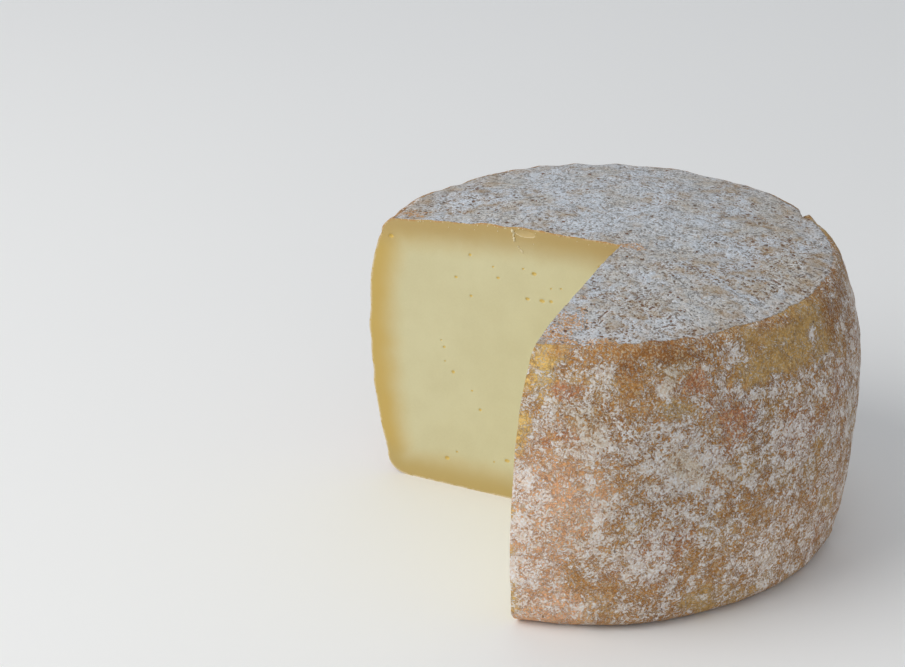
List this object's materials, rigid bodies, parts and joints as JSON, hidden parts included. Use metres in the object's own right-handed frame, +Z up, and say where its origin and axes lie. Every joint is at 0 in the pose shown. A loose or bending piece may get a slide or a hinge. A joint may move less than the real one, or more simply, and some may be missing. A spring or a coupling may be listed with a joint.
{
  "type": "aged pecorino cheese wheel with a quarter cut out",
  "caption": "Small barrel-shaped wheel of aged pecorino with a mouldy natural rind and one quarter cut out, showing the pale paste.",
  "frame": {"origin": "middle of the footprint of the cut wheel, on its flat base", "axes": "+Z up through the wheel; the missing quarter is on the -X, -Y side, so one cut face looks along -Y and the other along -X"},
  "size_m": [0.1972, 0.2048, 0.1206],
  "materials": {
    "cheese": "matte"
  },
  "bodies": {
    "root": {"pecorino_wheel": "cheese"}
  },
  "joints": []
}
